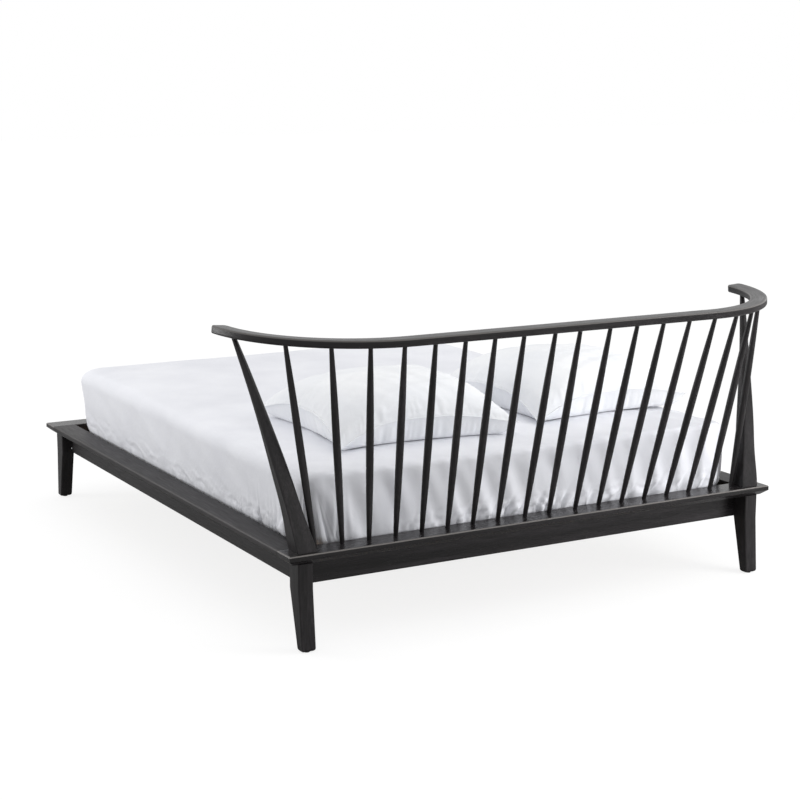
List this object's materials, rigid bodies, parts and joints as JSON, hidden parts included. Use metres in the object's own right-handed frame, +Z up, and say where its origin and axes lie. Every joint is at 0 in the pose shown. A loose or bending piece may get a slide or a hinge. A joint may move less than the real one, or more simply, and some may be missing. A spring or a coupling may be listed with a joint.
{
  "type": "bed",
  "caption": "Low platform bed with a flat ledge, tapered legs and a spindle headboard whose crest rail bends forward at both ends, with a sheeted mattress and pillows.",
  "frame": {"origin": "on the floor below the middle of the whole bounding box", "axes": "+Z up, +Y towards the headboard, +X the right side as seen from the foot end"},
  "size_m": [2.0032, 2.3162, 0.9449],
  "materials": {
    "stained_wood": "charcoal stain under a satin lacquer",
    "plain_wood": "planed and unfinished",
    "zinc_steel": "zinc plated",
    "glide_plastic": "matt",
    "sheet": "woven cotton, matt",
    "pillowcase": "woven cotton, matt"
  },
  "bodies": {
    "frame": {"apron_foot": "stained_wood", "apron_head": "stained_wood", "apron_left": "stained_wood", "apron_right": "stained_wood", "beam_cleats": "plain_wood", "centre_beam": "plain_wood", "centre_leg_foot": "stained_wood", "centre_leg_head": "stained_wood", "corner_blocks": "plain_wood", "crest_centre": "stained_wood", "crest_left": "stained_wood", "crest_right": "stained_wood", "foot_glides": "glide_plastic", "ledge_foot": "stained_wood", "ledge_head": "stained_wood", "ledge_left": "stained_wood", "ledge_right": "stained_wood", "ledger_screws": "zinc_steel", "leg_bolts": "zinc_steel", "leg_foot_left": "stained_wood", "leg_foot_right": "stained_wood", "leg_head_left": "stained_wood", "leg_head_right": "stained_wood", "post_left": "stained_wood", "post_right": "stained_wood", "slat_01": "plain_wood", "slat_02": "plain_wood", "slat_03": "plain_wood", "slat_04": "plain_wood", "slat_05": "plain_wood", "slat_06": "plain_wood", "slat_07": "plain_wood", "slat_08": "plain_wood", "slat_09": "plain_wood", "slat_10": "plain_wood", "slat_11": "plain_wood", "slat_ledger_left": "plain_wood", "slat_ledger_right": "plain_wood", "slat_screws": "zinc_steel", "spindle_01": "stained_wood", "spindle_02": "stained_wood", "spindle_03": "stained_wood", "spindle_04": "stained_wood", "spindle_05": "stained_wood", "spindle_06": "stained_wood", "spindle_07": "stained_wood", "spindle_08": "stained_wood", "spindle_09": "stained_wood", "spindle_10": "stained_wood", "spindle_11": "stained_wood", "spindle_12": "stained_wood", "spindle_13": "stained_wood", "spindle_14": "stained_wood", "spindle_15": "stained_wood", "spindle_16": "stained_wood", "spindle_17": "stained_wood", "spindle_18": "stained_wood"},
    "mattress": {"mattress": "sheet"},
    "pillow_left": {"pillow_left": "pillowcase"},
    "pillow_right": {"pillow_right": "pillowcase"}
  },
  "joints": [
    {"name": "mattress_lift", "type": "slide", "parent": "frame", "child": "mattress", "axis": [0, 0, 1], "range_m": [0, 0.7]},
    {"name": "pillow_left_lift", "type": "slide", "parent": "mattress", "child": "pillow_left", "axis": [0, 0, 1], "range_m": [0, 0.45]},
    {"name": "pillow_right_lift", "type": "slide", "parent": "mattress", "child": "pillow_right", "axis": [0, 0, 1], "range_m": [0, 0.45]}
  ]
}
